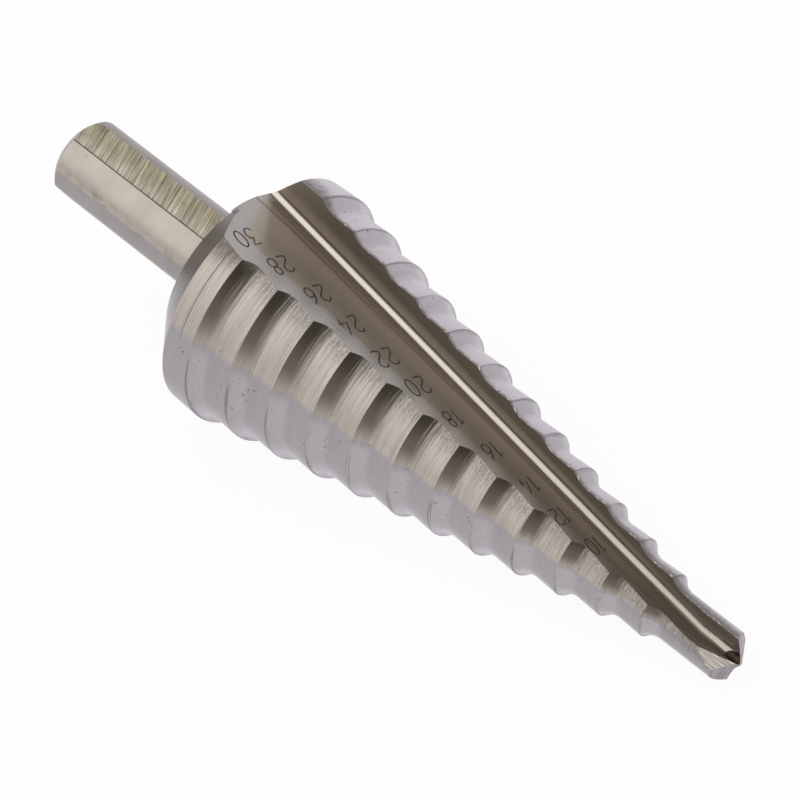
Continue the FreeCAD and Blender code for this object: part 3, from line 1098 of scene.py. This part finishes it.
@dataclass
class LaserMarks:
    """The sizes marked on the number wall of the first flute, as thin burnt strokes.

    Attributes:
        pose: How the drill lies.
        form: The drill's driving sizes.
        digit_height, digit_width, digit_pitch: The digits' sizes and spacing.
        narrow_pitch: The spacing after a 1.
        small_share: The size of the digits of a number below 20.
        slant: How far a digit leans per unit of height.
        stroke: The stroke's width.
        proud: How far the strokes stand off the steel.
    """

    pose: DrillPose
    form: DrillForm
    digit_height: float = 2.44
    digit_width: float = 1.36
    digit_pitch: float = 1.80
    narrow_pitch: float = 1.30
    small_share: float = 0.90
    slant: float = 0.10
    stroke: float = 0.19
    proud: float = 0.012

    def build(self) -> bpy.types.Object:
        """Return one object with a flat ribbon for every stroke of every mark."""
        vertices = []
        faces = []
        surface = []
        count = 0
        for mark in MARKS:
            for path in self.paths(mark):
                ribbon, stretch = self.ribbon(path)
                vertices.append(ribbon)
                pairs = len(path)
                on_steel = self.on_steel(path)
                for index in range(pairs - 1):
                    if not (on_steel[index] and on_steel[index + 1]):
                        continue
                    low = count + 2 * index
                    faces.append((low, low + 1, low + 3, low + 2))
                    for corner in (2 * index, 2 * index + 1, 2 * index + 3, 2 * index + 2):
                        surface.append(stretch[corner])
                count += 2 * pairs
        points = np.concatenate(vertices)
        places = self.form.wall_points(points[:, 0], points[:, 1], self.proud)
        mesh = bpy.data.meshes.new("laser_marks")
        mesh.from_pydata(self.pose.to_row(places).tolist(), [], faces)
        uv_layer = mesh.uv_layers.new(name=SURFACE_MAP)
        uv_layer.data.foreach_set("uv", np.array(surface).ravel())
        mesh.update()
        marks = bpy.data.objects.new("laser_marks", mesh)
        bpy.context.scene.collection.objects.link(marks)
        return marks

    def paths(self, mark: NumberMark) -> list:
        """Return the stroke paths of a mark as rows of reach and height."""
        digits = str(mark.number)
        pitch, share = (self.narrow_pitch, self.small_share) if digits[0] == "1" else (self.digit_pitch, 1.0)
        paths = []
        for place, digit in enumerate(digits):
            middle = mark.reach + (place - 0.5 * (len(digits) - 1)) * pitch
            for stroke in DIGIT_STROKES[digit]:
                up = (stroke[:, 1] - 0.5) * self.digit_height * share
                out = (stroke[:, 0] - 0.5) * self.digit_width * share + self.slant * up
                paths.append(np.stack([middle + out, mark.height + up], axis=1))
        return paths

    def on_steel(self, path: np.ndarray) -> np.ndarray:
        """Return which of a path's points lie on the wall, inside the step's heel edge."""
        form = self.form
        places = form.wall_points(path[:, 0], path[:, 1], 0.0)
        step = np.ceil(path[:, 1] / form.step_pitch)
        edge = form.largest_radius - form.radius_step * step - form.heel_relief
        return np.hypot(places[:, 0], places[:, 1]) < edge - self.stroke

    def ribbon(self, path: np.ndarray) -> tuple:
        """Return a stroke's two borders, and the distance along and across it for each border point."""
        along = np.gradient(path, axis=0)
        along /= np.maximum(np.linalg.norm(along, axis=1, keepdims=True), 1e-9)
        aside = np.stack([-along[:, 1], along[:, 0]], axis=1) * 0.5 * self.stroke
        border = np.empty((2 * len(path), 2))
        border[0::2] = path + aside
        border[1::2] = path - aside
        lengths = np.concatenate([[0.0], np.cumsum(np.linalg.norm(np.diff(path, axis=0), axis=1))])
        stretch = np.empty_like(border)
        stretch[0::2] = np.stack([lengths, np.zeros_like(lengths)], axis=1)
        stretch[1::2] = np.stack([lengths, np.full_like(lengths, self.stroke)], axis=1)
        return border, stretch

    def dress(self, marks) -> None:
        """Give the marks their burnt finish."""
        marks.data.materials.append(MarkFinish().material(self.form))


@dataclass(frozen=True)
class Studio:
    """The camera, the pale table and the soft light.

    Attributes:
        camera_place: The camera's place in metres.
        camera_turn: The camera's turn in degrees about X, Y and Z.
        lens: The focal length in millimetres on a 36 mm sensor.
        floor_size: The table's half width in metres.
        world_level: How strong the light from all round is.
        lamp_power: The soft lamp's power in watts.
        lamp_place: The soft lamp's place in metres.
        lamp_size: The soft lamp's width in metres.
        world_tint, white, paper: The colours of the world's light, of what the camera sees and of the table.
        glow_share: How much of the table is plain white to the camera; the rest takes the shadow.
    """

    camera_place: tuple = (0.253563, -0.208614, 0.342972)
    camera_turn: tuple = (44.3055, 5.8332, 44.5091)
    lens: float = 193.66
    floor_size: float = 3.0
    world_level: float = 0.72
    lamp_power: float = 3.5
    lamp_place: tuple = (-0.25, -0.35, 0.75)
    lamp_size: float = 1.6
    world_tint: tuple = (1.0, 0.99, 0.98, 1.0)
    white: tuple = (1.0, 1.0, 1.0, 1.0)
    paper: tuple = (0.85, 0.85, 0.85, 1.0)
    glow_share: float = 0.94

    def build(self) -> None:
        """Add the table, the world, the lamp and the camera."""
        self.table()
        self.world()
        self.lamp()
        self.camera()

    def camera(self) -> None:
        """Add the camera where the photograph was taken from."""
        data = bpy.data.cameras.new("camera")
        data.lens = self.lens
        data.sensor_width = 36.0
        data.clip_start = 0.01
        data.clip_end = 20.0
        camera = bpy.data.objects.new("camera", data)
        camera.location = self.camera_place
        camera.rotation_euler = [math.radians(angle) for angle in self.camera_turn]
        bpy.context.scene.collection.objects.link(camera)
        bpy.context.scene.camera = camera

    def lamp(self) -> None:
        """Add one wide soft lamp that is turned towards the drill."""
        data = bpy.data.lights.new("soft_lamp", "AREA")
        data.shape = "DISK"
        data.size = self.lamp_size
        data.energy = self.lamp_power
        lamp = bpy.data.objects.new("soft_lamp", data)
        back = np.array(self.lamp_place) / np.linalg.norm(self.lamp_place)
        right = np.cross([0.0, 0.0, 1.0], back)
        right /= np.linalg.norm(right)
        turn = Matrix(np.stack([right, np.cross(back, right), back], axis=1).tolist())
        lamp.matrix_world = Matrix.Translation(self.lamp_place) @ turn.to_4x4()
        bpy.context.scene.collection.objects.link(lamp)

    def seen(self, tree) -> Value:
        """Return 1 for rays from the camera, from gloss and through glass."""
        path = tree.nodes.new("ShaderNodeLightPath")
        seen = Value(path.outputs["Is Camera Ray"])
        for kind in ("Is Glossy Ray", "Is Transmission Ray"):
            seen = seen.math("MAXIMUM", Value(path.outputs[kind]))
        return seen

    def glow(self, tree, kind: str, colour: tuple, strength: float) -> Value:
        """Return a node that gives off light: a background or an emission."""
        node = tree.nodes.new(kind)
        node.inputs["Color"].default_value = colour
        node.inputs["Strength"].default_value = strength
        return Value(node.outputs[0])

    def mixed(self, tree, share, first: Value, second: Value) -> Value:
        """Return the first shader where the share is 0 and the second where it is 1."""
        node = tree.nodes.new("ShaderNodeMixShader")
        for target, value in zip(node.inputs, (share, first, second)):
            feed(target, value)
        return Value(node.outputs[0])

    def world(self) -> None:
        """Set a plain white world that the camera sees as white."""
        world = bpy.data.worlds.new("studio")
        world.use_nodes = True
        tree = world.node_tree
        tree.nodes.clear()
        output = tree.nodes.new("ShaderNodeOutputWorld")
        light = self.glow(tree, "ShaderNodeBackground", self.world_tint, self.world_level)
        white = self.glow(tree, "ShaderNodeBackground", self.white, 1.0)
        path = tree.nodes.new("ShaderNodeLightPath")
        feed(output.inputs["Surface"], self.mixed(tree, Value(path.outputs["Is Camera Ray"]), light, white))
        bpy.context.scene.world = world

    def table(self) -> None:
        """Add the plain white table, which the camera sees as white but for the drill's shadow."""
        half = self.floor_size
        mesh = bpy.data.meshes.new("table")
        corners = [(-half, -half, 0.0), (half, -half, 0.0), (half, half, 0.0), (-half, half, 0.0)]
        mesh.from_pydata(corners, [], [(0, 1, 2, 3)])
        table = bpy.data.objects.new("table", mesh)
        bpy.context.scene.collection.objects.link(table)
        material = bpy.data.materials.new("table_paper")
        material.use_nodes = True
        tree = material.node_tree
        tree.nodes.clear()
        output = tree.nodes.new("ShaderNodeOutputMaterial")
        diffuse = tree.nodes.new("ShaderNodeBsdfDiffuse")
        diffuse.inputs["Color"].default_value = self.paper
        paper = Value(diffuse.outputs[0])
        glow = self.glow(tree, "ShaderNodeEmission", self.white, 1.0)
        lit = self.mixed(tree, self.glow_share, paper, glow)
        feed(output.inputs["Surface"], self.mixed(tree, self.seen(tree), paper, lit))
        mesh.materials.append(material)


def main() -> None:
    """Build the drill's looks and the studio round it."""
    logging.basicConfig(level=logging.INFO, format="%(message)s")
    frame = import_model()
    bpy.context.scene.view_settings.view_transform = "Standard"
    pose = DrillPose()
    form = DrillForm()

    body = SteelBody("step_drill", pose, form)
    steel = body.build(frame["nodes"]["step_drill"])
    body.dress(steel)
    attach(steel, "root")
    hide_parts("step_drill")
    LOG.info("ground steel: %d triangles", len(steel.data.polygons))

    lettering = LaserMarks(pose, form)
    marks = lettering.build()
    lettering.dress(marks)
    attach(marks, "root")
    LOG.info("laser marks: %d faces", len(marks.data.polygons))

    Studio().build()
    LOG.info("studio: table, world, lamp and camera")


if __name__ == "__main__":
    main()
